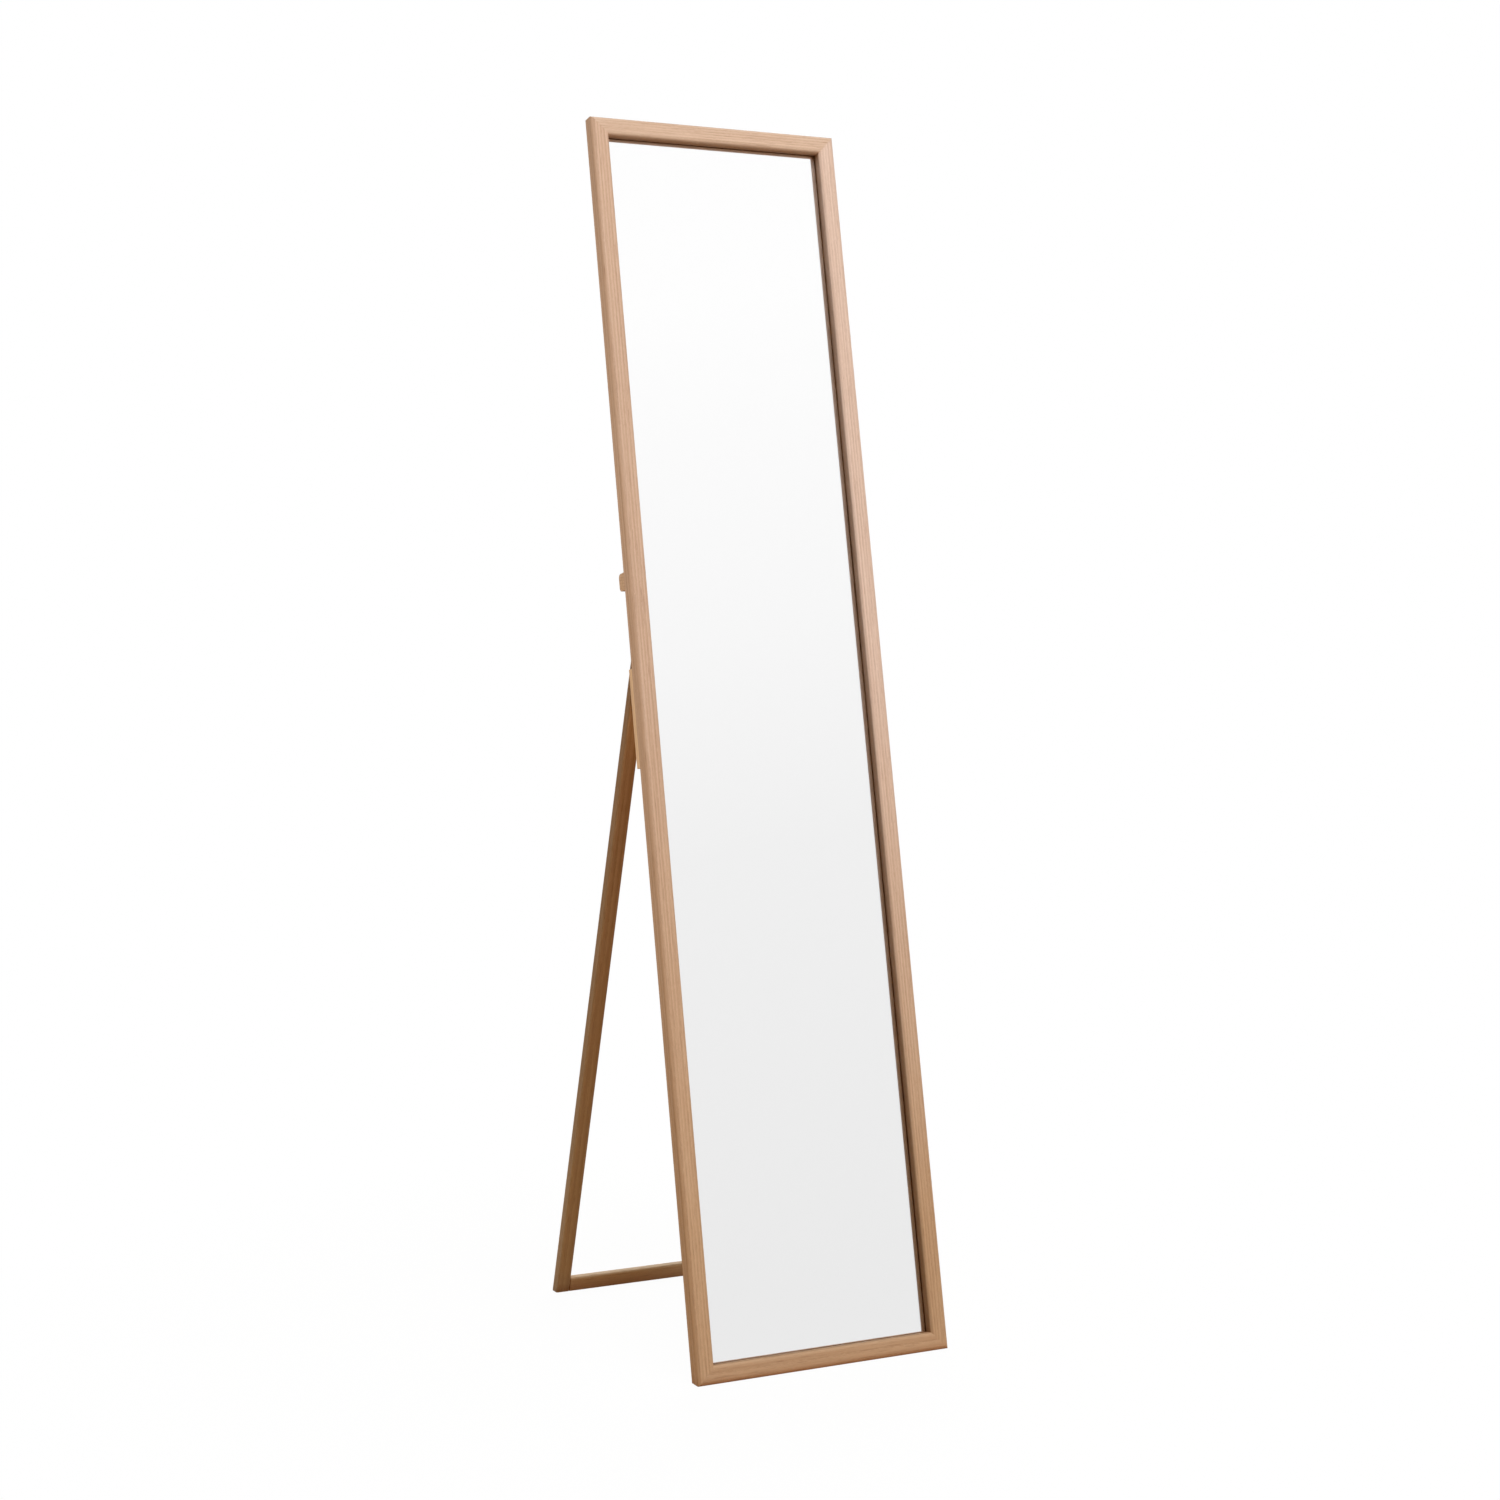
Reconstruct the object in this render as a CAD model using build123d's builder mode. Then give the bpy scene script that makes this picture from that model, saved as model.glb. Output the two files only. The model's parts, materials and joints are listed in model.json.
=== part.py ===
from build123d import *
import os
from math import cos, radians, sin, tan

# A floor mirror on an easel-back stand. A slim mitred wooden frame holds a sheet of mirror glass
# and leans back on a folding stand of two legs and a foot rail. Each leg hangs on a small hinge,
# screwed to a wooden block on the back of the frame. With the stand open, the bevelled heads of
# the legs bear on the blocks. It folds forward until it lies parallel to the frame. A cross rail
# above the blocks ties the two stiles together.
#
# Millimetres, +Z up, +X to the right as seen from the front. The mirror faces -Y.
# The origin is on the floor, in the middle of the footprint.
# A height is measured up the sloping front face, a depth square to it, from the front to the back.

# Frame
frame_length = 1500.0
frame_width = 330.0
face_width = 22.0
frame_lean = 11.4
outer_round = 5.0
sight_round = 4.5

# Section of the frame, from the front face to the back
sight_depth = 12.0
glass_thickness = 3.0
board_thickness = 2.0
back_recess = 1.0
rebate_width = 7.0
rebate_clearance = 1.0
glass_arris = 0.5

# Splines in the mitred corners, and the wood left outside them
spline_edge = 2.2
spline_length = 14.0
spline_width = 11.0
spline_thickness = 3.0

# Framer's points, driven into the rebate behind the back board
point_length = 10.0
point_bite = 4.5
point_width = 6.0
point_thickness = 0.8
point_spacing = 240.0
rail_point_inset = 90.0

# Hinge blocks on the back of the stiles
block_top = 829.0
block_length = 118.0
block_thickness = 9.0
block_round = 1.0
block_screw_inset = 7.5
block_screw_end = 12.0
block_screw_length = 20.0
block_screw_radius = 1.75
block_screw_head = 3.5

# Hinges between the blocks and the legs
hinge_drop = 27.3
hinge_length = 12.0
leaf_height = 24.0
leaf_thickness = 1.2
leaf_round = 2.0
knuckle_radius = 2.5
pin_radius = 1.2
pin_head_radius = 2.0
pin_head_length = 0.8
leaf_screw_offsets = (9.0, 18.5)
leaf_screw_length = 8.5
leaf_screw_radius = 1.4
leaf_screw_head = 2.6

# Stand
stand_lean = 17.3
leg_inset = 4.0
leg_width = 18.0
leg_depth = 15.0
leg_round = 2.5
leg_tip = 1.0
foot_rail_height = 18.5
foot_rail_depth = 9.0
dowel_radius = 2.5
dowel_length = 26.0
dowel_spacing = 7.5

# Cross rail on the back of the stiles, above the hinge blocks
cross_rail_rise = 105.5
cross_rail_inset = 1.0
cross_rail_height = 21.0
cross_rail_depth = 17.0
cross_rail_round = 5.0
cross_screw_length = 28.0

# Cross recesses in the screw heads, with arms that reach over a share of the head
drive_width = 0.8
drive_depth = 0.8
drive_share = 0.6

# Clearances
hinge_clearance = 0.3
stop_clearance = 0.25
knuckle_clearance = 0.15
running_clearance = 0.05
fastener_clearance = 0.03

# Worked out from the sizes above
lean = radians(frame_lean)
stand_angle = radians(stand_lean)
open_angle = lean + stand_angle
frame_depth = sight_depth + glass_thickness + board_thickness + back_recess
rebate_offset = face_width - rebate_width
opening_width = frame_width - 2 * rebate_offset
opening_length = frame_length - 2 * rebate_offset
pane_width = opening_width - 2 * rebate_clearance
pane_length = opening_length - 2 * rebate_clearance
glass_depth = sight_depth
board_depth = glass_depth + glass_thickness
point_depth = board_depth + board_thickness
spline_depth = (sight_depth - spline_thickness) / 2
spline_inset = spline_edge + (spline_length + spline_width) / 2 * sin(radians(45))
stile_x = (frame_width - face_width) / 2
leg_x = frame_width / 2 - leg_inset - leg_width / 2
block_height = block_top - block_length / 2
cross_rail_middle = block_top + cross_rail_rise
block_back = frame_depth + block_thickness
block_screw_x = frame_width / 2 - block_screw_inset
block_screw_heights = (block_top - block_length + block_screw_end, block_top - block_screw_end)

# The hinge axis stands off both faces that the leaves are screwed to by the same amount
axis_offset = knuckle_radius + hinge_clearance
axis_height = block_top - hinge_drop
axis_depth = block_back + axis_offset
axis_back = axis_height * sin(lean) + axis_depth * cos(lean)
axis_z = axis_height * cos(lean) - axis_depth * sin(lean)

# The footprint runs from the rounded lower edge of the frame to the back of the legs on the floor
leg_back = axis_offset + leg_depth
leg_back_z = axis_z + leg_back * sin(stand_angle)
front_gap = outer_round * (sin(lean) + cos(lean) - 1)
footprint = axis_back + leg_back * cos(stand_angle) + leg_back_z * tan(stand_angle) - front_gap
front_y = -footprint / 2 - front_gap

# Heights along the legs, measured from the hinge axis
leg_head = (axis_offset - stop_clearance + (leg_back - leg_tip) * cos(open_angle)) / sin(open_angle)
floor_front = -(axis_z + axis_offset * sin(stand_angle)) / cos(stand_angle)
floor_back = -leg_back_z / cos(stand_angle)
foot_rail_top = floor_front + foot_rail_height
foot_rail_length = 2 * leg_x - leg_width

# Local x of the frame's planes is +X, local y runs up the slope and local z points to the viewer
frame_front = Plane(origin=(0, front_y, 0), x_dir=(1, 0, 0), z_dir=(0, -cos(lean), sin(lean)))
axis_point = Vector(0, front_y + axis_back, axis_z)
stand_plane = Plane(origin=axis_point, x_dir=(1, 0, 0), z_dir=(0, -cos(stand_angle), -sin(stand_angle)))
leg_front = stand_plane.offset(-axis_offset)
stop_plane = frame_front.offset(-block_back - stop_clearance)

sides = {"left": -1, "right": 1}
corner_signs = [(across, up) for across in (-1, 1) for up in (-1, 1)]
top_down = (Align.CENTER, Align.CENTER, Align.MAX)
bottom_up = (Align.CENTER, Align.CENTER, Align.MIN)

os.makedirs("parts", exist_ok=True)


def save(piece, label):
    """Label a finished piece and write it to its own file."""
    piece.part.label = label
    export_step(piece.part, f"parts/{label}.step")


def facing_back(x, height, depth):
    """A plane on the frame that faces backwards, with its local y down the slope."""
    origin = frame_front.from_local_coords((x, height, -depth))
    return Plane(origin=origin, x_dir=(1, 0, 0), z_dir=-frame_front.z_dir)


def facing_front(x, height):
    """A plane on the front of the stand that faces the frame, with its local y down the leg."""
    origin = leg_front.from_local_coords((x, height, 0))
    return Plane(origin=origin, x_dir=(-1, 0, 0), z_dir=leg_front.z_dir)


def along_axis(x):
    """A plane square to the hinge axis."""
    return Plane(origin=axis_point + Vector(x, 0, 0), x_dir=(0, 1, 0), z_dir=(1, 0, 0))


def drill(planes, radius, depth):
    """Blind holes into the piece being built, one from each plane."""
    with Locations(*planes):
        Cylinder(radius + fastener_clearance, depth, align=top_down, mode=Mode.SUBTRACT)


def countersink(planes, head_radius, shank_radius, depth):
    """Screw holes with a seat for a flat head, one from each plane."""
    head_depth = head_radius - shank_radius
    wide = head_radius + fastener_clearance
    narrow = shank_radius + fastener_clearance
    drill(planes, shank_radius, depth)
    with Locations(*planes):
        Cone(narrow, wide, head_depth, align=top_down, mode=Mode.SUBTRACT)


def screws(planes, head_radius, shank_radius, length):
    """Flat-headed wood screws as a group, with their heads level with the planes."""
    with BuildPart(*planes) as group:
        Cylinder(shank_radius, length, align=top_down)
        Cone(shank_radius, head_radius, head_radius - shank_radius, align=top_down)
        arm_length = 2 * drive_share * head_radius
        Box(arm_length, drive_width, drive_depth, align=top_down, mode=Mode.SUBTRACT)
        Box(drive_width, arm_length, drive_depth, align=top_down, mode=Mode.SUBTRACT)
    return group


def corner_rectangles():
    """The outlines of the four splines, each lying across its mitre."""
    for across, up in corner_signs:
        middle_x = across * (frame_width / 2 - spline_inset)
        middle_height = frame_length / 2 + up * (frame_length / 2 - spline_inset)
        with Locations((middle_x, middle_height)):
            Rectangle(spline_length, spline_width, rotation=-45 * across * up)


# The points keep half a spacing away from the cross rail, so that none is under it
row_limit = int(frame_length // point_spacing)
point_rows = [cross_rail_middle + (row + 0.5) * point_spacing for row in range(-row_limit, row_limit)]
row_end = face_width + point_width
point_heights = [height for height in point_rows if row_end < height < frame_length - row_end]
point_reach = point_bite - point_length / 2
point_x = opening_width / 2 + point_reach
point_rail_x = opening_width / 2 - rail_point_inset


def point_rectangles():
    """The outlines of the framer's points, each half in the wood and half over the board."""
    for across in sides.values():
        for height in point_heights:
            with Locations((across * point_x, height)):
                Rectangle(point_length, point_width)
        for up in (-1, 1):
            height = frame_length / 2 + up * (opening_length / 2 + point_reach)
            with Locations((across * point_rail_x, height)):
                Rectangle(point_width, point_length)


# Planes of the fasteners, by side
block_screw_planes = {}
block_pilot_planes = {}
frame_leaf_screw_planes = {}
leg_leaf_screw_planes = {}
cross_screw_planes = {}
cross_pilot_planes = {}
for name, side in sides.items():
    leaf_x = side * leg_x
    screw_x = side * block_screw_x
    block_screw_planes[name] = [facing_back(screw_x, height, block_back) for height in block_screw_heights]
    block_pilot_planes[name] = [plane.offset(-block_thickness) for plane in block_screw_planes[name]]
    frame_leaf_screw_planes[name] = [
        facing_back(leaf_x, axis_height - drop, block_back + leaf_thickness) for drop in leaf_screw_offsets
    ]
    leg_leaf_screw_planes[name] = [
        facing_front(leaf_x, -drop).offset(leaf_thickness) for drop in leaf_screw_offsets
    ]
    cross_screw_planes[name] = facing_back(screw_x, cross_rail_middle, frame_depth + cross_rail_depth)
    cross_pilot_planes[name] = cross_screw_planes[name].offset(-cross_rail_depth)


# Stiles and rails: mitred lengths, rebated from the back and cut level with the floor
half_width = frame_width / 2
stile_outline = [
    (half_width, 0),
    (half_width, frame_length),
    (half_width - face_width, frame_length - face_width),
    (half_width - face_width, face_width),
]
rail_outline = [
    (-half_width, 0),
    (half_width, 0),
    (half_width - face_width, face_width),
    (face_width - half_width, face_width),
]
outlines = {
    "left_stile": [(-x, height) for x, height in stile_outline],
    "right_stile": stile_outline,
    "bottom_rail": rail_outline,
    "top_rail": [(x, frame_length - height) for x, height in rail_outline],
}
up_axis = Axis(frame_front.origin, frame_front.y_dir)
out_axis = Axis(frame_front.origin, frame_front.z_dir)
frame_middle = frame_front.from_local_coords((0, frame_length / 2, 0))

for label, outline in outlines.items():
    with BuildPart() as member:
        with BuildSketch(frame_front):
            with BuildLine():
                Polyline(*outline, close=True)
            make_face()
        extrude(amount=-frame_depth)
        for place, radius in ((0, sight_round), (-1, outer_round)):
            front_edges = member.faces().sort_by(out_axis)[-1].edges()
            long_edges = front_edges.filter_by(Axis.X) + front_edges.filter_by(up_axis)
            fillet(long_edges.sort_by_distance(frame_middle)[place], radius)
        with BuildSketch(frame_front.offset(-sight_depth)):
            with Locations((0, frame_length / 2)):
                Rectangle(opening_width, opening_length)
        extrude(amount=sight_depth - frame_depth, mode=Mode.SUBTRACT)
        with BuildSketch(frame_front.offset(-spline_depth)):
            corner_rectangles()
        extrude(amount=-spline_thickness, mode=Mode.SUBTRACT)
        with BuildSketch(frame_front.offset(-point_depth)):
            point_rectangles()
        extrude(amount=-point_thickness, mode=Mode.SUBTRACT)
        for name in sides:
            if label.startswith(name):
                drill(block_pilot_planes[name], block_screw_radius, block_screw_length - block_thickness)
                drill([cross_pilot_planes[name]], block_screw_radius, cross_screw_length - cross_rail_depth)
        split(bisect_by=Plane.XY, keep=Keep.TOP)
    save(member, label)

with BuildPart() as corner_splines:
    with BuildSketch(frame_front.offset(-spline_depth)):
        corner_rectangles()
    extrude(amount=-spline_thickness)
save(corner_splines, "corner_splines")

# Glass with ground edges, then the board behind it and the points that hold both
with BuildPart() as mirror_glass:
    with BuildSketch(frame_front.offset(-glass_depth)):
        with Locations((0, frame_length / 2)):
            Rectangle(pane_width, pane_length)
    extrude(amount=-glass_thickness)
    glass_faces = mirror_glass.faces().filter_by(frame_front)
    chamfer(glass_faces.edges(), glass_arris)
save(mirror_glass, "mirror_glass")

with BuildPart() as back_board:
    with BuildSketch(frame_front.offset(-board_depth)):
        with Locations((0, frame_length / 2)):
            Rectangle(pane_width, pane_length)
    extrude(amount=-board_thickness)
save(back_board, "back_board")

with BuildPart() as framers_points:
    with BuildSketch(frame_front.offset(-point_depth)):
        point_rectangles()
    extrude(amount=-point_thickness)
save(framers_points, "framers_points")

# Hinge blocks, flush with the outer sides of the stiles
for name, side in sides.items():
    with BuildPart() as hinge_block:
        with BuildSketch(frame_front.offset(-frame_depth)):
            with Locations((side * stile_x, block_height)):
                Rectangle(face_width, block_length)
        extrude(amount=-block_thickness)
        fillet(hinge_block.faces().sort_by(out_axis)[0].edges(), block_round)
        countersink(block_screw_planes[name], block_screw_head, block_screw_radius, block_thickness)
        pilots = [plane.offset(-leaf_thickness) for plane in frame_leaf_screw_planes[name]]
        drill(pilots, leaf_screw_radius, leaf_screw_length - leaf_thickness)
    save(hinge_block, f"{name}_hinge_block")

all_block_screws = block_screw_planes["left"] + block_screw_planes["right"]
block_screws = screws(all_block_screws, block_screw_head, block_screw_radius, block_screw_length)
save(block_screws, "block_screws")

# Hinges: the outer knuckles belong to the frame's leaf, the middle one to the leg's leaf
knuckle_length = hinge_length / 3
middle_knuckle = [(-knuckle_length / 2 + knuckle_clearance, knuckle_length / 2 - knuckle_clearance)]
outer_knuckles = [(-hinge_length / 2, -knuckle_length / 2), (knuckle_length / 2, hinge_length / 2)]
middle_space = [(-knuckle_length / 2, knuckle_length / 2)]
outer_space = [
    (-hinge_length / 2, knuckle_clearance - knuckle_length / 2),
    (knuckle_length / 2 - knuckle_clearance, hinge_length / 2),
]


def barrel(x, spans, radius, mode):
    """Round lengths along the hinge axis, added to or cut from the piece being built."""
    for start, end in spans:
        with Locations(along_axis(x + start)):
            Cylinder(radius, end - start, align=bottom_up, mode=mode)


def hinge_leaf(x, seat, knuckles, cleared, bore_radius, screw_planes):
    """A leaf on its seat plane, with its own knuckles and room for those of the other leaf."""
    with BuildPart() as leaf:
        with BuildSketch(seat):
            Rectangle(hinge_length, leaf_height, align=(Align.CENTER, Align.MIN))
        extrude(amount=leaf_thickness)
        end_face = leaf.faces().sort_by(Axis(seat.origin, seat.y_dir))[-1]
        fillet(end_face.edges().filter_by(Axis(seat.origin, seat.z_dir)), leaf_round)
        barrel(x, knuckles, knuckle_radius, Mode.ADD)
        barrel(x, cleared, knuckle_radius + hinge_clearance, Mode.SUBTRACT)
        barrel(x, [(-hinge_length / 2, hinge_length / 2)], bore_radius, Mode.SUBTRACT)
        countersink(screw_planes, leaf_screw_head, leaf_screw_radius, leaf_thickness)
    return leaf


for name, side in sides.items():
    leaf_x = side * leg_x
    frame_seat = facing_back(leaf_x, axis_height, block_back)
    frame_bore = pin_radius + fastener_clearance
    frame_leaf = hinge_leaf(
        leaf_x, frame_seat, outer_knuckles, middle_space, frame_bore, frame_leaf_screw_planes[name]
    )
    save(frame_leaf, f"{name}_frame_leaf")

    leg_seat = facing_front(leaf_x, 0)
    leg_bore = pin_radius + running_clearance
    leg_leaf = hinge_leaf(
        leaf_x, leg_seat, middle_knuckle, outer_space, leg_bore, leg_leaf_screw_planes[name]
    )
    save(leg_leaf, f"{name}_leg_leaf")

    with BuildPart() as hinge_pin:
        barrel(leaf_x, [(-hinge_length / 2, hinge_length / 2)], pin_radius, Mode.ADD)
        pin_heads = [(-hinge_length / 2 - pin_head_length, -hinge_length / 2)]
        pin_heads += [(hinge_length / 2, hinge_length / 2 + pin_head_length)]
        barrel(leaf_x, pin_heads, pin_head_radius, Mode.ADD)
    save(hinge_pin, f"{name}_hinge_pin")

all_frame_leaf_screws = frame_leaf_screw_planes["left"] + frame_leaf_screw_planes["right"]
frame_leaf_screws = screws(all_frame_leaf_screws, leaf_screw_head, leaf_screw_radius, leaf_screw_length)
save(frame_leaf_screws, "frame_leaf_screws")

all_leg_leaf_screws = leg_leaf_screw_planes["left"] + leg_leaf_screw_planes["right"]
leg_leaf_screws = screws(all_leg_leaf_screws, leaf_screw_head, leaf_screw_radius, leaf_screw_length)
save(leg_leaf_screws, "leg_leaf_screws")

# Stand: legs bevelled at the head and cut level with the floor, and a thinner rail between them,
# flush with their fronts
leg_axis = Axis(stand_plane.origin, stand_plane.y_dir)
rail_middle = (floor_front + foot_rail_top) / 2
dowel_heights = (rail_middle - dowel_spacing / 2, rail_middle + dowel_spacing / 2)
dowel_start = foot_rail_length / 2 - dowel_length / 2


def dowel_planes(side):
    """Planes square to the dowels of one leg, at their inner ends and facing outwards."""
    inner_ends = [(side * dowel_start, height, -foot_rail_depth / 2) for height in dowel_heights]
    origins = [leg_front.from_local_coords(end) for end in inner_ends]
    return [Plane(origin=origin, x_dir=(0, 1, 0), z_dir=(side, 0, 0)) for origin in origins]


def dowel_holes(side):
    """Holes for the dowels of one leg, cut from the piece being built."""
    with Locations(*dowel_planes(side)):
        hole_radius = dowel_radius + fastener_clearance
        Cylinder(hole_radius, dowel_length, align=bottom_up, mode=Mode.SUBTRACT)


for name, side in sides.items():
    with BuildPart() as leg:
        with BuildSketch(leg_front):
            with Locations((side * leg_x, floor_back)):
                Rectangle(leg_width, leg_head - floor_back, align=(Align.CENTER, Align.MIN))
        extrude(amount=-leg_depth)
        fillet(leg.edges().filter_by(leg_axis), leg_round)
        pilots = [plane.offset(-leaf_thickness) for plane in leg_leaf_screw_planes[name]]
        drill(pilots, leaf_screw_radius, leaf_screw_length - leaf_thickness)
        dowel_holes(side)
        split(bisect_by=Plane.XY, keep=Keep.TOP)
        split(bisect_by=stop_plane, keep=Keep.BOTTOM)
    save(leg, f"stand_{name}_leg")

with BuildPart() as foot_rail:
    with BuildSketch(leg_front):
        with Locations((0, floor_back)):
            Rectangle(foot_rail_length, foot_rail_top - floor_back, align=(Align.CENTER, Align.MIN))
    extrude(amount=-foot_rail_depth)
    fillet(foot_rail.faces().sort_by(leg_axis)[-1].edges().filter_by(Axis.X), leg_round)
    for side in sides.values():
        dowel_holes(side)
    split(bisect_by=Plane.XY, keep=Keep.TOP)
save(foot_rail, "stand_foot_rail")

with BuildPart(*dowel_planes(-1), *dowel_planes(1)) as stand_dowels:
    Cylinder(dowel_radius, dowel_length, align=bottom_up)
save(stand_dowels, "stand_dowels")

# Cross rail, with rounded edges at the back, screwed to both stiles
with BuildPart() as cross_rail:
    with BuildSketch(frame_front.offset(-frame_depth)):
        with Locations((0, cross_rail_middle)):
            Rectangle(frame_width - 2 * cross_rail_inset, cross_rail_height)
    extrude(amount=-cross_rail_depth)
    rear_edges = cross_rail.faces().sort_by(out_axis)[0].edges()
    fillet(rear_edges.filter_by(Axis.X), cross_rail_round)
    countersink(cross_screw_planes.values(), block_screw_head, block_screw_radius, cross_rail_depth)
save(cross_rail, "cross_rail")

cross_rail_screws = screws(
    cross_screw_planes.values(), block_screw_head, block_screw_radius, cross_screw_length
)
save(cross_rail_screws, "cross_rail_screws")
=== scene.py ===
# %% [markdown]
# # A floor mirror on an easel-back stand
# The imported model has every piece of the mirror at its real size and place. This lesson dresses it:
# each piece gets the finish of its real material, the glass gets its silver, and a plain floor, soft
# light and a camera are set up around it. All lengths are in metres unless a name ends in mm.

import json
from math import cos, degrees, radians, sin, tau

import bpy
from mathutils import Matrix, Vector


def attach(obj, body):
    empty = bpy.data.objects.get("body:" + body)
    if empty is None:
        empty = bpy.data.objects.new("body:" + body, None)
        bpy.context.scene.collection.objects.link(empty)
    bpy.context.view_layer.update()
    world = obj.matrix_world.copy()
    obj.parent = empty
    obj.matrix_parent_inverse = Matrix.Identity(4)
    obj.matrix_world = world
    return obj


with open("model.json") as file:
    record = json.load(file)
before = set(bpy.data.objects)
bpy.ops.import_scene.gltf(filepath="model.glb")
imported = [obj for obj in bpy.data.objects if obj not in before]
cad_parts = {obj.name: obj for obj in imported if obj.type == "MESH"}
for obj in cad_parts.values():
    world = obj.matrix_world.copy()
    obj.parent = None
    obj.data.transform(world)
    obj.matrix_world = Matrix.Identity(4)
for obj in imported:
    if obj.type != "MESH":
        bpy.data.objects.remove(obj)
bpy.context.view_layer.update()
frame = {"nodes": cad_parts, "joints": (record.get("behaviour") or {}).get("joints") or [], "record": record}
nodes = frame["nodes"]

# %% [markdown]
# Wood is recognised by its grain, and the grain of a board runs along its length. The frame leans
# back and the stand leans forward, so those two directions are worked out once, from the two angles.
# The stand's fold joint turns through both angles together, which is a handy test of the values.

# %% Directions of the frame and of the stand
frame_lean = radians(11.4)
stand_lean = radians(17.3)
across = Vector((1, 0, 0))
up_frame = Vector((0, sin(frame_lean), cos(frame_lean)))
up_stand = Vector((0, -sin(stand_lean), cos(stand_lean)))
frame_back = Vector((0, cos(frame_lean), -sin(frame_lean)))
fold_range = frame["joints"][0]["range_deg"][1]
print("fold range", fold_range, "sum of the leans", round(degrees(frame_lean + stand_lean), 2))

# %% [markdown]
# Shader colours are linear light, but a colour is easier to pick and to read as sRGB hex, the way
# a paint program shows it. One function turns hex to linear. A second adds a node: `settings` are the
# node's own properties, `values` fill its input sockets, and `links` connect them to other nodes.
# Most sockets go by their names. A Mix node has several with the same name, so its numbers are used.

# %% Colour and node helpers
def linear(hex_colour):
    """An sRGB hex colour such as '#c8a080' as linear red, green, blue and alpha."""
    channels = [int(hex_colour[start:start + 2], 16) / 255 for start in (1, 3, 5)]
    return [c / 12.92 if c <= 0.04045 else ((c + 0.055) / 1.055) ** 2.4 for c in channels] + [1.0]


def add(tree, kind, settings={}, values={}, links={}):
    """Add one node to a node tree, set it up and connect its inputs."""
    node = tree.nodes.new(kind)
    for name, value in settings.items():
        setattr(node, name, value)
    for socket, value in values.items():
        node.inputs[socket].default_value = value
    for socket, source in links.items():
        tree.links.new(source, node.inputs[socket])
    return node


def set_stops(ramp, stops):
    """Give a colour ramp its stops, a list of places from 0 to 1 with hex colours."""
    elements = ramp.color_ramp.elements
    while len(elements) < len(stops):
        elements.new(1.0)
    for element, (place, colour) in zip(elements, stops):
        element.position = place
        element.color = linear(colour)


def new_material(name):
    """An empty material with its node tree."""
    material = bpy.data.materials.new(name)
    material.use_nodes = True
    material.node_tree.nodes.clear()
    return material, material.node_tree


def dress(node_name, material):
    """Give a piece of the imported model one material."""
    slots = nodes[node_name].data.materials
    slots.clear()
    slots.append(material)


# Sockets of a Mix node that mixes colours: three inputs and one output
mix_share, mix_first, mix_second = 0, 6, 7
mix_result = 2
white = "#ffffff"
print("white is", linear(white), "and middle grey", [round(c, 3) for c in linear("#808080")])

# %% [markdown]
# The frame and stand are pale oak, planed, sanded and lacquered. Oak shows growth rings as long lines,
# 3 to 4 mm apart on a sawn face, with fine fibres and open pores along the grain. The lines could be
# painted on as flat stripes. Instead rings are drawn round a pith that lies outside the board, as in
# a real log, so that faces show lines and sawn ends show arcs that agree with them.

# %% Growth rings, fibres and pores
mm = 0.001
ring_spacing = 3.4 * mm
ring_waver = 5.0
ring_waver_width = 16 * mm
ring_weight = 0.4
# Blender's wave texture repeats at this length when its scale is 1.
wave_length = tau / 20
grain_stretch = 0.03
fibre_width = 2.2 * mm
fibre_length = 160 * mm
fibre_weight = 0.6
# Real pores are about 0.3 mm wide. They are drawn wider, so that they show in the render.
pore_width = 0.9 * mm
pore_length = 28 * mm


def grain_figure(tree, grain, place):
    """Rings with fibres as one value and pores as another, both drawn along the grain."""
    turn = grain.rotation_difference(across).to_euler()
    coordinates = add(tree, "ShaderNodeTexCoord")
    board = add(tree, "ShaderNodeMapping", values={"Rotation": turn, "Location": place},
                links={"Vector": coordinates.outputs["Object"]})
    log = add(tree, "ShaderNodeMapping", values={"Scale": (grain_stretch, 1, 1)},
              links={"Vector": board.outputs["Vector"]})
    rings = add(tree, "ShaderNodeTexWave",
                {"wave_type": "RINGS", "rings_direction": "X", "wave_profile": "SAW"},
                {"Scale": wave_length / ring_spacing, "Distortion": ring_waver, "Detail": 2.0,
                 "Detail Scale": 1 / ring_waver_width},
                {"Vector": log.outputs["Vector"]})
    fibre_space = add(tree, "ShaderNodeMapping",
                      values={"Scale": (1 / fibre_length, 1 / fibre_width, 1 / fibre_width)},
                      links={"Vector": board.outputs["Vector"]})
    fibres = add(tree, "ShaderNodeTexNoise", values={"Scale": 1.0, "Detail": 3.0, "Roughness": 0.6},
                 links={"Vector": fibre_space.outputs["Vector"]})
    pore_space = add(tree, "ShaderNodeMapping",
                     values={"Scale": (1 / pore_length, 1 / pore_width, 1 / pore_width)},
                     links={"Vector": board.outputs["Vector"]})
    pores = add(tree, "ShaderNodeTexNoise", values={"Scale": 1.0, "Detail": 1.0},
                links={"Vector": pore_space.outputs["Vector"]})
    faint_rings = add(tree, "ShaderNodeMath", {"operation": "MULTIPLY"}, {1: ring_weight},
                      {0: rings.outputs["Fac"]})
    figure = add(tree, "ShaderNodeMath", {"operation": "MULTIPLY_ADD"}, {1: fibre_weight},
                 {0: fibres.outputs["Fac"], 2: faint_rings.outputs["Value"]})
    return figure.outputs["Value"], pores.outputs["Fac"]


print("rings every", round(ring_spacing / mm, 1), "mm, pores", round(pore_width / mm, 1), "mm wide")
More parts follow.
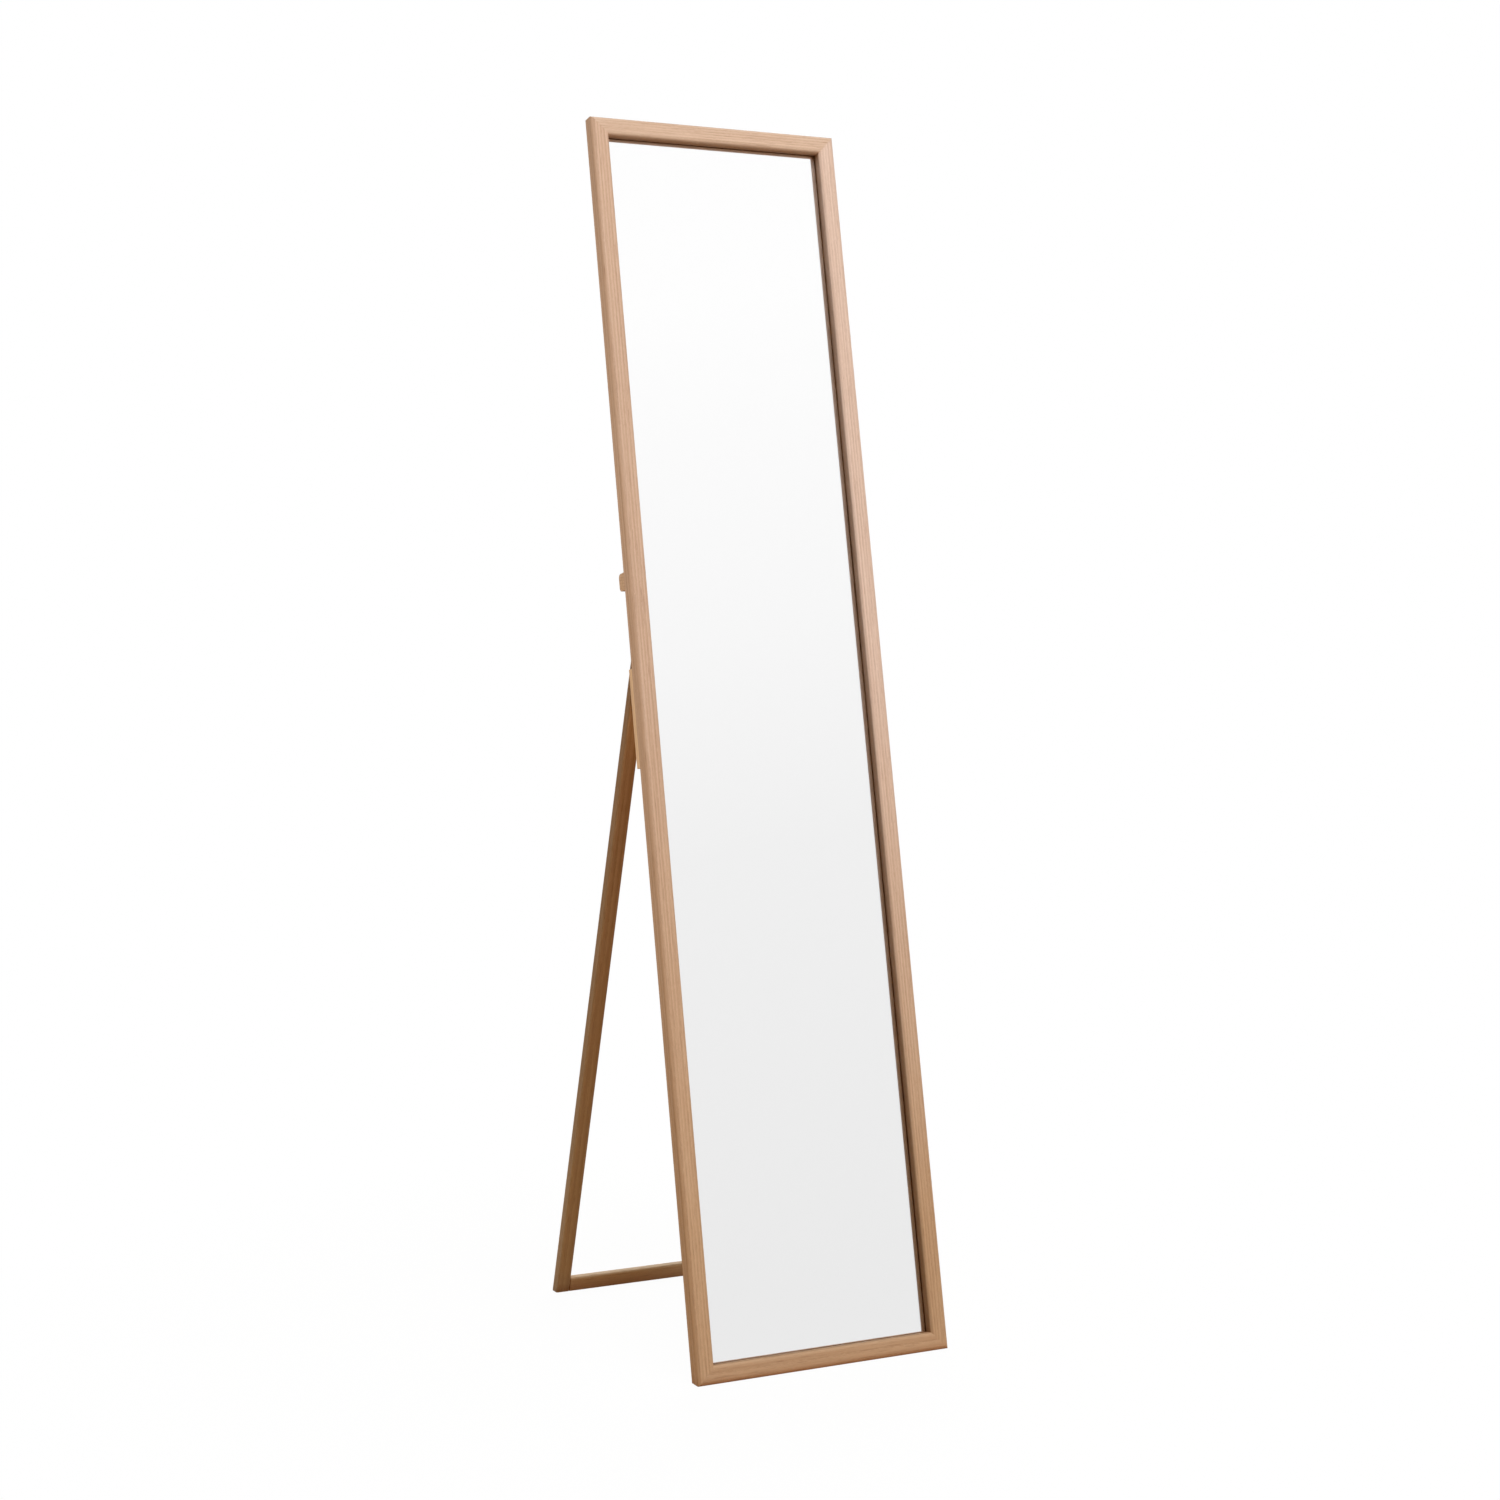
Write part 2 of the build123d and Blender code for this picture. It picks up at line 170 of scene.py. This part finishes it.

# %% [markdown]
# The matt lacquer on the oak is slightly amber. It could be a second clear layer, but it is so thin
# that only its tint is seen, so the tint simply multiplies the wood's colour. The tint also carries
# painted light: it changes between the floor and the top, as a painted sheen high on the stiles and
# painted shade on the tops of the legs, and it is darker in corners and recesses as painted shade.
# The ambient occlusion node finds the corners: it tells how much of the space around a point is open.

# %% Amber lacquer with painted shade and sheen
low_height = 0.15
high_height = 0.8
corner_reach = 14 * mm
# Painted shade: corners and recesses are darkened towards this colour.
painted_corner_shade = "#d9b083"


def lacquer_and_painted_light(tree, low_tint_and_light, high_tint_and_light):
    """Amber lacquer with painted light: a tint low down, another high up, and painted corner shade."""
    coordinates = add(tree, "ShaderNodeTexCoord")
    height = add(tree, "ShaderNodeSeparateXYZ", links={"Vector": coordinates.outputs["Object"]})
    rise = add(tree, "ShaderNodeMapRange", values={"From Min": low_height, "From Max": high_height},
               links={"Value": height.outputs["Z"]})
    tint_and_painted_light_by_height = add(tree, "ShaderNodeMix", {"data_type": "RGBA"},
               {mix_first: linear(low_tint_and_light), mix_second: linear(high_tint_and_light)},
               {mix_share: rise.outputs["Result"]})
    # Painted shade in corners: the less open a point is, the more of the corner colour it gets.
    openness = add(tree, "ShaderNodeAmbientOcclusion", {"samples": 6}, {"Distance": corner_reach})
    painted_shade_in_corners = add(tree, "ShaderNodeMix", {"data_type": "RGBA"},
                   {mix_first: linear(painted_corner_shade), mix_second: linear(white)},
                   {mix_share: openness.outputs["AO"]})
    coat_and_painted_light = add(tree, "ShaderNodeMix", {"data_type": "RGBA", "blend_type": "MULTIPLY"}, {mix_share: 1.0},
               {mix_first: tint_and_painted_light_by_height.outputs[mix_result], mix_second: painted_shade_in_corners.outputs[mix_result]})
    return coat_and_painted_light.outputs[mix_result]


print("the tint changes between", low_height, "and", high_height, "m above the floor")

# %% A wood material
# Levels of the pore noise: where the sheen starts to dull, the rim of a pore, and its middle
dull_from, pore_rim, pore_middle = 0.4, 0.6, 0.75
pore_cover = 0.6
pore_depth = 0.2 * mm
smooth_roughness = 0.5
pore_roughness = 0.66
lacquer_ior = 1.5
lacquer_shine = 0.15


def wood(name, grain, place, colours, pore_colour, low_tint_and_light, high_tint_and_light):
    """Wood with its grain along one direction, under a lacquer whose tints carry painted light."""
    material, tree = new_material(name)
    figure, pores = grain_figure(tree, grain, place)
    ramp = add(tree, "ShaderNodeValToRGB", links={"Fac": figure})
    set_stops(ramp, colours)
    open_pore = add(tree, "ShaderNodeMapRange",
                    values={"From Min": pore_rim, "From Max": pore_middle, "To Max": pore_cover},
                    links={"Value": pores})
    grained = add(tree, "ShaderNodeMix", {"data_type": "RGBA"}, {mix_second: linear(pore_colour)},
                  {mix_share: open_pore.outputs["Result"], mix_first: ramp.outputs["Color"]})
    coat_and_painted_light = lacquer_and_painted_light(tree, low_tint_and_light, high_tint_and_light)
    lacquered_and_painted = add(tree, "ShaderNodeMix", {"data_type": "RGBA", "blend_type": "MULTIPLY"},
                    {mix_share: 1.0}, {mix_first: grained.outputs[mix_result], mix_second: coat_and_painted_light})
    sheen = add(tree, "ShaderNodeMapRange",
                values={"From Min": dull_from, "From Max": pore_middle,
                        "To Min": smooth_roughness, "To Max": pore_roughness},
                links={"Value": pores})
    relief = add(tree, "ShaderNodeBump", {"invert": True}, {"Strength": 0.25, "Distance": pore_depth},
                 {"Height": open_pore.outputs["Result"]})
    surface = add(tree, "ShaderNodeBsdfPrincipled",
                  values={"IOR": lacquer_ior, "Specular IOR Level": lacquer_shine},
                  links={"Base Color": lacquered_and_painted.outputs[mix_result],
                         "Roughness": sheen.outputs["Result"], "Normal": relief.outputs["Normal"]})
    add(tree, "ShaderNodeOutputMaterial", links={"Surface": surface.outputs["BSDF"]})
    return material


print("roughness from", smooth_roughness, "on smooth wood to", pore_roughness, "in a pore")

# %% [markdown]
# Boards of one tree still differ in colour, and no two show the same lines. One material for all of
# them would look like a printed foil. So each board is cut from its own place in the log and has its
# own two tints. The hinge blocks and the foot rail get paler colours; on the foot rail's shaded front
# this is painted light.

# %% Pale oak boards
oak_colours = [(0.0, "#a98d7b"), (0.35, "#cfbaab"), (0.65, "#e2d1c6"), (1.0, "#f2e8e0")]
# Paler colours for the hinge blocks and the foot rail; on the rail's shaded front they are painted light.
lightened_oak_colours = [(0.0, "#c4ac9b"), (0.35, "#e4d3c6"), (0.65, "#f2e6dd"), (1.0, "#fbf5ef")]
oak_pore_colour = "#ad9384"
# Each board has its grain direction, its place in the log in millimetres, and its low and high tint;
# where the two differ, that is painted light.
oak_boards = {
    # Both stiles are paler high up, the right one most: a painted sheen.
    "left_stile": (up_frame, (40, 95, 30), "#e6d1b4", "#eedecf"),
    "right_stile": (up_frame, (910, 120, -42), "#ddc8ab", "#faf1ec"),
    "top_rail": (across, (300, 80, 64), "#f1e4d6", "#f1e4d6"),
    "bottom_rail": (across, (520, 70, 90), "#e0caae", "#e0caae"),
    "left_hinge_block": (up_frame, (150, 60, 85), "#ffecd1", "#ffecd1"),
    "right_hinge_block": (up_frame, (260, 75, 70), "#ffecd1", "#ffecd1"),
    "cross_rail": (across, (80, 45, 60), "#f4e4cf", "#f4e4cf"),
    # The legs are darker and warmer high up: painted shade below the frame.
    "stand_left_leg": (up_stand, (640, 110, 35), "#f3ebd0", "#efd8b5"),
    "stand_right_leg": (up_stand, (730, 85, -50), "#f3ebd0", "#efd8b5"),
    # The foot rail's pale tint is painted light on its shaded front too.
    "stand_foot_rail": (across, (410, 100, 75), "#fff1d4", "#fff1d4"),
}
lightened_boards = {"left_hinge_block", "right_hinge_block", "stand_foot_rail"}
for node_name, (grain, place_mm, low_tint_and_light, high_tint_and_light) in oak_boards.items():
    place = Vector(place_mm) * mm
    colours = lightened_oak_colours if node_name in lightened_boards else oak_colours
    oak = wood(f"oak_{node_name}", grain, place, colours, oak_pore_colour, low_tint_and_light, high_tint_and_light)
    dress(node_name, oak)
print("oak boards:", len(oak_boards))

# %% [markdown]
# The corner splines and the dowels are beech, sawn and turned, and hidden inside the joints. Beech is
# plainer and pinker than oak, so the same wood function is used with colours that are closer together,
# and with white for both tints.

# %% Bare beech
beech_colours = [(0.0, "#c79a72"), (1.0, "#d9b58f")]
beech_pore_colour = "#b98b63"
beech_place = Vector((200, 90, 50)) * mm
spline_grain = (across + up_frame).normalized()
beech_pieces = {"corner_splines": spline_grain, "stand_dowels": across}
for node_name, grain in beech_pieces.items():
    beech = wood(f"beech_{node_name}", grain, beech_place, beech_colours, beech_pore_colour, white, white)
    dress(node_name, beech)
print("beech pieces:", len(beech_pieces))

# %% [markdown]
# A mirror is float glass with silver on its back. A single shiny surface would do from afar, but it
# loses the thin dark line where the frame's lip is seen in the silver, through the glass. So the pane
# is real glass, and the silver is a thin sheet just inside its back face.

# %% Clear float glass
glass, tree = new_material("clear_float_glass")
surface = add(tree, "ShaderNodeBsdfPrincipled",
              values={"Base Color": linear(white), "Roughness": 0.0, "IOR": 1.52,
                      "Transmission Weight": 1.0})
add(tree, "ShaderNodeOutputMaterial", links={"Surface": surface.outputs["BSDF"]})
dress("mirror_glass", glass)

# %% Silver behind the glass
silver, tree = new_material("mirror_silver")
surface = add(tree, "ShaderNodeBsdfPrincipled",
              values={"Base Color": linear("#fefefe"), "Metallic": 1.0, "Roughness": 0.0})
add(tree, "ShaderNodeOutputMaterial", links={"Surface": surface.outputs["BSDF"]})

pane = nodes["mirror_glass"].data.vertices
depths = [vertex.co.dot(frame_back) for vertex in pane]
heights = [vertex.co.dot(up_frame) for vertex in pane]
widths = [vertex.co.dot(across) for vertex in pane]
silver_inset = 1.0 * mm
silver_thickness = 0.08 * mm
glass_behind_silver = 0.04 * mm
silver_rear = max(depths) - glass_behind_silver
silver_front = silver_rear - silver_thickness
left, right = min(widths) + silver_inset, max(widths) - silver_inset
bottom, top = min(heights) + silver_inset, max(heights) - silver_inset
outline = [(left, bottom), (right, bottom), (right, top), (left, top)]
corners = [across * x + up_frame * height + frame_back * depth
           for depth in (silver_front, silver_rear) for x, height in outline]
faces = [(0, 1, 2, 3), (7, 6, 5, 4)] + [(i, i + 4, (i + 1) % 4 + 4, (i + 1) % 4) for i in range(4)]
silver_mesh = bpy.data.meshes.new("silvering")
silver_mesh.from_pydata(corners, [], faces)
silver_mesh.materials.append(silver)
silvering = bpy.data.objects.new("silvering", silver_mesh)
bpy.context.scene.collection.objects.link(silvering)
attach(silvering, "frame")
print("silver:", round((right - left) / mm), "by", round((top - bottom) / mm), "mm")

# %% [markdown]
# The back board is hardboard: wood fibres pressed into a thin brown sheet. Close up it is a felt of
# short fibres, lighter and darker, with a faint cloudiness from the press. Two noises give both sizes.

# %% Brown hardboard
fibre_size = 2.5 * mm
cloud_size = 90 * mm
cloud_weight = 0.4
felt_depth = 0.15 * mm
hardboard_colours = [(0.45, "#6e4a2f"), (0.7, "#86603f"), (0.95, "#a17a55")]
hardboard, tree = new_material("brown_hardboard")
coordinates = add(tree, "ShaderNodeTexCoord")
felt = add(tree, "ShaderNodeTexNoise", values={"Scale": 1 / fibre_size, "Detail": 4.0, "Roughness": 0.7},
           links={"Vector": coordinates.outputs["Object"]})
clouds = add(tree, "ShaderNodeTexNoise", values={"Scale": 1 / cloud_size, "Detail": 2.0},
             links={"Vector": coordinates.outputs["Object"]})
mixed = add(tree, "ShaderNodeMath", {"operation": "MULTIPLY_ADD"}, {1: cloud_weight},
            {0: clouds.outputs["Fac"], 2: felt.outputs["Fac"]})
ramp = add(tree, "ShaderNodeValToRGB", links={"Fac": mixed.outputs["Value"]})
set_stops(ramp, hardboard_colours)
relief = add(tree, "ShaderNodeBump", values={"Strength": 0.2, "Distance": felt_depth},
             links={"Height": felt.outputs["Fac"]})
surface = add(tree, "ShaderNodeBsdfPrincipled", values={"Roughness": 0.62, "IOR": 1.5},
              links={"Base Color": ramp.outputs["Color"], "Normal": relief.outputs["Normal"]})
add(tree, "ShaderNodeOutputMaterial", links={"Surface": surface.outputs["BSDF"]})
dress("back_board", hardboard)

# %% [markdown]
# Hinges, screws and framer's points are mild steel with a thin bright zinc plating. Zinc is
# a little blue and slightly clouded, so its roughness varies softly while its colour hardly does.

# %% Zinc-plated steel
spangle_size = 4 * mm
# Levels of the spangle noise where the plating is clear and where it is cloudy
clear, cloudy = 0.3, 0.7
clear_roughness = 0.26
cloudy_roughness = 0.42
zinc_colours = [(clear, "#a9adb2"), (cloudy, "#c6c9cc")]
zinc, tree = new_material("zinc_plated_steel")
coordinates = add(tree, "ShaderNodeTexCoord")
spangle = add(tree, "ShaderNodeTexNoise", values={"Scale": 1 / spangle_size, "Detail": 3.0},
              links={"Vector": coordinates.outputs["Object"]})
ramp = add(tree, "ShaderNodeValToRGB", links={"Fac": spangle.outputs["Fac"]})
set_stops(ramp, zinc_colours)
sheen = add(tree, "ShaderNodeMapRange",
            values={"From Min": clear, "From Max": cloudy,
                    "To Min": clear_roughness, "To Max": cloudy_roughness},
            links={"Value": spangle.outputs["Fac"]})
surface = add(tree, "ShaderNodeBsdfPrincipled", values={"Metallic": 1.0},
              links={"Base Color": ramp.outputs["Color"], "Roughness": sheen.outputs["Result"]})
add(tree, "ShaderNodeOutputMaterial", links={"Surface": surface.outputs["BSDF"]})
steel_slot = "steel"
steel_pieces = [p["node"] for p in frame["record"]["subparts"] if p["material_slot"] == steel_slot]
for node_name in steel_pieces:
    dress(node_name, zinc)
print("steel pieces:", len(steel_pieces))

# %% [markdown]
# The floor is plain and white. The camera, the glass and the metal see it as an even white with the
# object's soft shadow on it. Farther off the shadow gives way to pure white, so that the floor runs
# into the background without a line. In the mirror it fades to the grey of the room's horizon, which
# softens the line there too. The light that it throws back on the wood is low and warm, as from
# a dull wooden floor, which keeps the shaded sides of the stand deep.

# %% A square floor
floor_size = 30.0
floor_drop = 0.5 * mm
half = floor_size / 2
floor_outline = [(-half, -half), (half, -half), (half, half), (-half, half)]
floor_mesh = bpy.data.meshes.new("floor")
floor_mesh.from_pydata([(x, y, -floor_drop) for x, y in floor_outline], [], [(0, 1, 2, 3)])
floor = bpy.data.objects.new("floor", floor_mesh)
bpy.context.scene.collection.objects.link(floor)
print("floor:", floor_size, "m square")

# %% White floor finish
horizon_colour = "#ebebeb"
bounce_colour = "#b28342"
shadow_strength = 0.03
# Distances from the middle of the floor
shadow_full, shadow_gone = 0.4, 1.0
mirrored_white, mirrored_grey = 0.8, 6.0
# The diffuse depth counts whole bounces, so half a bounce tells none from one.
half_bounce = 0.5


def seen_directly(tree):
    """One for the camera's rays, also by way of a reflection or glass, and zero for scattered light."""
    paths = add(tree, "ShaderNodeLightPath")
    shiny = add(tree, "ShaderNodeMath", {"operation": "MAXIMUM"},
                links={0: paths.outputs["Is Glossy Ray"], 1: paths.outputs["Is Transmission Ray"]})
    direct = add(tree, "ShaderNodeMath", {"operation": "MAXIMUM"},
                 links={0: paths.outputs["Is Camera Ray"], 1: shiny.outputs["Value"]})
    unscattered = add(tree, "ShaderNodeMath", {"operation": "LESS_THAN"}, {1: half_bounce},
                      {0: paths.outputs["Diffuse Depth"]})
    seen = add(tree, "ShaderNodeMath", {"operation": "MULTIPLY"},
               links={0: direct.outputs["Value"], 1: unscattered.outputs["Value"]})
    return seen.outputs["Value"]


white_floor, tree = new_material("white_floor")
seen = seen_directly(tree)
shade = add(tree, "ShaderNodeMix", {"data_type": "RGBA"},
            {mix_first: linear(bounce_colour), mix_second: linear(white)}, {mix_share: seen})
lit = add(tree, "ShaderNodeBsdfDiffuse", links={"Color": shade.outputs[mix_result]})
coordinates = add(tree, "ShaderNodeTexCoord")
distance = add(tree, "ShaderNodeVectorMath", {"operation": "LENGTH"},
               links={0: coordinates.outputs["Object"]})
far_off = add(tree, "ShaderNodeMapRange", {"interpolation_type": "SMOOTHSTEP"},
              {"From Min": mirrored_white, "From Max": mirrored_grey},
              {"Value": distance.outputs["Value"]})
mirrored = add(tree, "ShaderNodeMix", {"data_type": "RGBA"},
               {mix_first: linear(white), mix_second: linear(horizon_colour)},
               {mix_share: far_off.outputs["Result"]})
paths = add(tree, "ShaderNodeLightPath")
plain_colour = add(tree, "ShaderNodeMix", {"data_type": "RGBA"}, {mix_second: linear(white)},
                   {mix_share: paths.outputs["Is Camera Ray"], mix_first: mirrored.outputs[mix_result]})
plain = add(tree, "ShaderNodeEmission", values={"Strength": 1.0},
            links={"Color": plain_colour.outputs[mix_result]})
evenness = add(tree, "ShaderNodeMapRange",
               values={"From Min": shadow_full, "From Max": shadow_gone,
                       "To Min": 1.0 - shadow_strength, "To Max": 1.0},
               links={"Value": distance.outputs["Value"]})
plain_share = add(tree, "ShaderNodeMath", {"operation": "MULTIPLY"},
                  links={0: seen, 1: evenness.outputs["Result"]})
surface = add(tree, "ShaderNodeMixShader",
              links={0: plain_share.outputs["Value"],
                     1: lit.outputs["BSDF"], 2: plain.outputs["Emission"]})
add(tree, "ShaderNodeOutputMaterial", links={"Surface": surface.outputs["Shader"]})
floor_mesh.materials.append(white_floor)
print("the shadow fades between", shadow_full, "and", shadow_gone, "m")

# %% [markdown]
# The room is white too. Behind the object it is pure white. In the mirror it is a little darker near
# the horizon than overhead, as a studio is. As light on the wood it is a gentle, warm fill.

# %% White room
fill_light = 0.2
fill_colour = "#ffeecf"
# Colours in the mirror, from the horizon at 0 to straight up at 1
room_colours = [(0.08, horizon_colour), (0.14, "#ededed"), (0.25, "#f1f1f1"), (0.33, "#f8f8f8"),
                (0.45, white)]
world = bpy.data.worlds.new("white_room")
world.use_nodes = True
bpy.context.scene.world = world
tree = world.node_tree
tree.nodes.clear()
seen = seen_directly(tree)
direction = add(tree, "ShaderNodeTexCoord")
upward = add(tree, "ShaderNodeSeparateXYZ", links={"Vector": direction.outputs["Generated"]})
ramp = add(tree, "ShaderNodeValToRGB", links={"Fac": upward.outputs["Z"]})
set_stops(ramp, room_colours)
paths = add(tree, "ShaderNodeLightPath")
room = add(tree, "ShaderNodeMix", {"data_type": "RGBA"}, {mix_second: linear(white)},
           {mix_share: paths.outputs["Is Camera Ray"], mix_first: ramp.outputs["Color"]})
colour = add(tree, "ShaderNodeMix", {"data_type": "RGBA"}, {mix_first: linear(fill_colour)},
             {mix_share: seen, mix_second: room.outputs[mix_result]})
strength = add(tree, "ShaderNodeMapRange", values={"To Min": fill_light, "To Max": 1.0},
               links={"Value": seen})
background = add(tree, "ShaderNodeBackground",
                 links={"Color": colour.outputs[mix_result], "Strength": strength.outputs["Result"]})
add(tree, "ShaderNodeOutputWorld", links={"Surface": background.outputs["Background"]})
view_settings = bpy.context.scene.view_settings
view_settings.view_transform = "Standard"
print("fill light:", fill_light)

# %% [markdown]
# Four soft lamps give the wood its form. The main one hangs high in front, a little to the left, so
# tops are brighter than feet, rounded edges catch a line of light and the stand stays in shade.
# A second one in front evens out the face of the frame, and one stands behind on the right for the
# back. The mirror would show the lamp in front as a hard white square, so shiny surfaces don't see
# that one. A small warm lamp lifts the left edge of the frame. In a studio a black card would keep it
# off the stand. Light linking does the same: the lamp gets a collection of the only pieces it lights.

# %% Soft lamps
mirror_middle = Vector((0, 0, 0.75))


def soft_lamp(name, place, size, power, in_reflections):
    """A square lamp aimed at the mirror, which shiny surfaces may or may not show."""
    data = bpy.data.lights.new(name, "AREA")
    data.shape = "SQUARE"
    data.size = size
    data.energy = power
    lamp = bpy.data.objects.new(name, data)
    lamp.location = place
    lamp.rotation_mode = "QUATERNION"
    lamp.rotation_quaternion = (mirror_middle - place).to_track_quat("-Z", "Y")
    lamp.visible_camera = False
    lamp.visible_glossy = in_reflections
    lamp.visible_transmission = in_reflections
    bpy.context.scene.collection.objects.link(lamp)
    return lamp


soft_lamp("high_left_lamp", Vector((-0.45, -1.5, 3.6)), size=1.4, power=54.5, in_reflections=True)
soft_lamp("front_lamp", Vector((0.7, -2.6, 1.4)), size=1.6, power=39, in_reflections=False)
soft_lamp("back_lamp", Vector((1.2, 1.7, 1.6)), size=1.4, power=36, in_reflections=True)
edge_lamp = soft_lamp("edge_lamp", Vector((-1.3, 0.45, 1.0)), size=0.8, power=7.2, in_reflections=False)
warm_white = "#fff4e2"
edge_lamp.data.color = linear(warm_white)[:3]
edge_lit = bpy.data.collections.new("lit_by_edge_lamp")
for node_name in frame["record"]["behaviour"]["bodies"]["frame"]:
    edge_lit.objects.link(nodes[node_name])
edge_lamp.light_linking.receiver_collection = edge_lit

# %% [markdown]
# The camera stands to the left of the mirror at about eye height when kneeling, turned towards it and
# tipped down slightly. A lens a little longer than normal keeps the tall frame from spreading.

# %% Camera
camera_place = Vector((-1.3796, -2.7764, 0.9013))
camera_turn = radians(26.63)
camera_tip = radians(-3.6)
lens_mm = 60.95
sensor_mm = 36
level = cos(camera_tip)
look = Vector((sin(camera_turn) * level, cos(camera_turn) * level, sin(camera_tip)))
camera_data = bpy.data.cameras.new("camera")
camera_data.lens = lens_mm
camera_data.sensor_width = sensor_mm
camera = bpy.data.objects.new("camera", camera_data)
camera.location = camera_place
camera.rotation_mode = "QUATERNION"
camera.rotation_quaternion = look.to_track_quat("-Z", "Y")
bpy.context.scene.collection.objects.link(camera)
bpy.context.scene.camera = camera
print("camera distance:", round((camera_place - mirror_middle).length, 2), "m")
